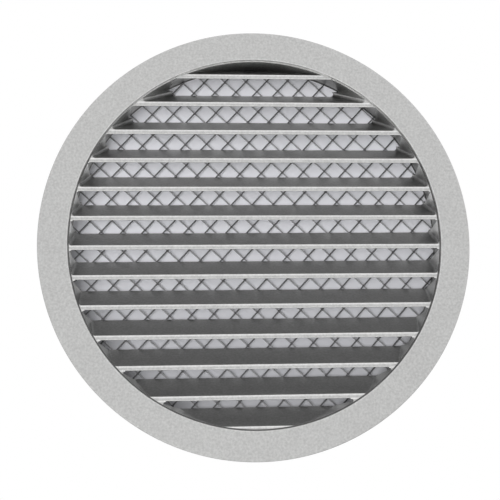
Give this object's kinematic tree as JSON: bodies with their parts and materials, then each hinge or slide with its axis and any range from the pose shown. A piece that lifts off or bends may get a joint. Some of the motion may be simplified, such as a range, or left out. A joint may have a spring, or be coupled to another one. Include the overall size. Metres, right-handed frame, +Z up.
{
  "type": "outdoor air grille",
  "caption": "Round cast aluminium wall grille with fixed sloping blades, a flat flange, a short duct spigot and a diagonal wire mesh behind the blades.",
  "frame": {"origin": "on the spigot's axis, in the plane of the flange's back face", "axes": "+Y along the spigot's axis into the duct, +Z up as it hangs on the wall, +X to the right seen from the front"},
  "size_m": [0.278, 0.0221, 0.278],
  "materials": {
    "cast_aluminium": "as cast, matt with a fine grain",
    "galvanised_wire": "galvanised, dull"
  },
  "bodies": {
    "root": {"louvre_casting": "cast_aluminium", "wire_mesh": "galvanised_wire"}
  },
  "joints": []
}
